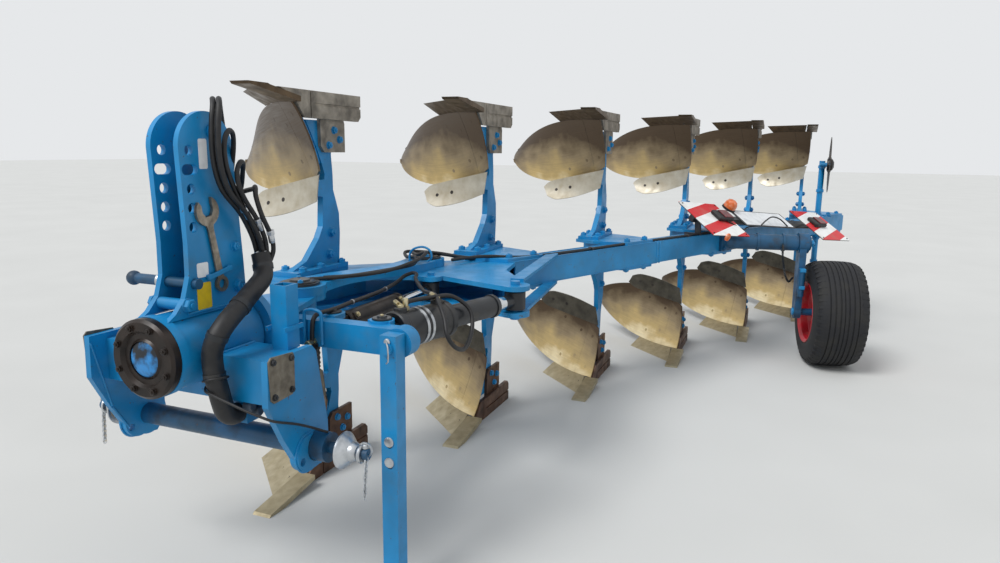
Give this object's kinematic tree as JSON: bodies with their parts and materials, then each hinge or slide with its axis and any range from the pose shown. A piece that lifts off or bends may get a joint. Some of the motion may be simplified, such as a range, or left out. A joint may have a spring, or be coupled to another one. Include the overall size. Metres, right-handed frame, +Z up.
{
  "type": "mounted reversible plough",
  "caption": "Mounted reversible mouldboard plough with turnover headstock, offset square beam, paired upper and lower bodies, a swinging depth wheel and a folding stand leg.",
  "frame": {"origin": "middle of the lower-link crossbar axis, between the two lower-link balls", "axes": "+X ahead in the direction of travel, +Y to the left, +Z up"},
  "size_m": [6.1974, 3.2065, 1.7],
  "materials": {
    "blue_paint": "satin",
    "dark_steel": "semi-gloss",
    "grease": "greasy",
    "worn_board": "worn",
    "share_steel": "rusty",
    "landside_steel": "rusty",
    "pale_plastic": "matte",
    "zinc": "zinc plated",
    "chrome": "polished",
    "red_paint": "gloss",
    "tyre": "dusty",
    "hose_rubber": "matte",
    "board_white": "matte",
    "disc_steel": "scaled"
  },
  "bodies": {
    "headstock": {"crossbar": "blue_paint", "hitch_balls": "zinc", "cheeks": "blue_paint", "cross_box": "blue_paint", "turn_housing": "blue_paint", "front_ring": "grease", "tower": "blue_paint", "tower_spacers": "blue_paint", "top_link_pin": "zinc", "turnover_cylinder": "dark_steel", "feed_hoses": "hose_rubber"},
    "turn_frame": {"turn_shaft": "blue_paint", "carrier": "blue_paint", "side_arm": "blue_paint", "pivot_pin": "dark_steel", "gear_hoses": "hose_rubber"},
    "stand": {"stand_leg": "blue_paint"},
    "beam": {"swing_arms": "blue_paint", "beam_pin": "dark_steel", "beam_front": "blue_paint", "beam_middle": "blue_paint", "beam_rear": "blue_paint", "cylinder_braces": "blue_paint", "consoles": "blue_paint", "legs": "blue_paint", "frogs": "blue_paint", "mouldboards": "worn_board", "shins": "worn_board", "shares": "share_steel", "points": "share_steel", "landsides": "landside_steel", "trashboards": "pale_plastic", "wheel_bracket": "blue_paint", "coulter_arms": "blue_paint", "light_bar": "dark_steel", "warning_boards": "board_white"},
    "swing_barrel": {"swing_barrel": "dark_steel"},
    "swing_rod": {"swing_rod": "chrome"},
    "width_barrel": {"width_barrel": "grease"},
    "width_rod": {"width_rod": "chrome"},
    "wheel_arm": {"wheel_arm": "blue_paint"},
    "wheel": {"rim": "red_paint", "tyre": "tyre"},
    "coulter_upper": {"disc_upper": "disc_steel"},
    "coulter_lower": {"disc_lower": "disc_steel"}
  },
  "joints": [
    {"name": "turnover", "type": "hinge", "parent": "headstock", "child": "turn_frame", "pos_m": [0, 0, 0.32], "axis": [1, 0, 0], "range_deg": [0, 180]},
    {"name": "stand_fold", "type": "hinge", "parent": "turn_frame", "child": "stand", "pos_m": [-0.17, 0.585, 0.32], "axis": [1, 0, 0], "range_deg": [0, 90]},
    {"name": "beam_swing", "type": "hinge", "parent": "turn_frame", "child": "beam", "pos_m": [-0.43, 0, 0.32], "axis": [0, 0, 1], "range_deg": [0, 12]},
    {"name": "swing_cylinder_turn", "type": "hinge", "parent": "turn_frame", "child": "swing_barrel", "pos_m": [-0.232, 0.48, 0.32], "axis": [0, 0, 1], "range_deg": [0, 10.6]},
    {"name": "swing_rod_slide", "type": "slide", "parent": "swing_barrel", "child": "swing_rod", "axis": [-0.9622, 0.2725, 0], "range_m": [0, 0.107]},
    {"name": "width_cylinder_turn", "type": "hinge", "parent": "turn_frame", "child": "width_barrel", "pos_m": [-0.262, 0.265, 0.32], "axis": [0, 0, 1], "range_deg": [0, 9.2]},
    {"name": "width_rod_slide", "type": "slide", "parent": "width_barrel", "child": "width_rod", "axis": [-1, 0.0048, 0], "range_m": [0, 0.054]},
    {"name": "wheel_swing", "type": "hinge", "parent": "beam", "child": "wheel_arm", "pos_m": [-3.59999, 1.84401, 0.32], "axis": [0.2079, -0.9781, 0], "range_deg": [0, 180]},
    {"name": "wheel_spin", "type": "hinge", "parent": "wheel_arm", "child": "wheel", "pos_m": [-3.63949, 2.02986, -0.165], "axis": [-0.2079, 0.9781, 0], "continuous": true},
    {"name": "coulter_upper_spin", "type": "hinge", "parent": "beam", "child": "coulter_upper", "pos_m": [-4.80032, 1.98487, 0.84], "axis": [0, 1, 0], "continuous": true},
    {"name": "coulter_lower_spin", "type": "hinge", "parent": "beam", "child": "coulter_lower", "pos_m": [-4.80032, 1.98487, -0.2], "axis": [0, 1, 0], "continuous": true}
  ],
  "couplings": [
    {"joint": "swing_cylinder_turn", "follows": "beam_swing", "ratio": 0.87626},
    {"joint": "swing_rod_slide", "follows": "beam_swing", "m_per_rad": 0.50737},
    {"joint": "width_cylinder_turn", "follows": "beam_swing", "ratio": 0.75849},
    {"joint": "width_rod_slide", "follows": "beam_swing", "m_per_rad": 0.25268}
  ]
}
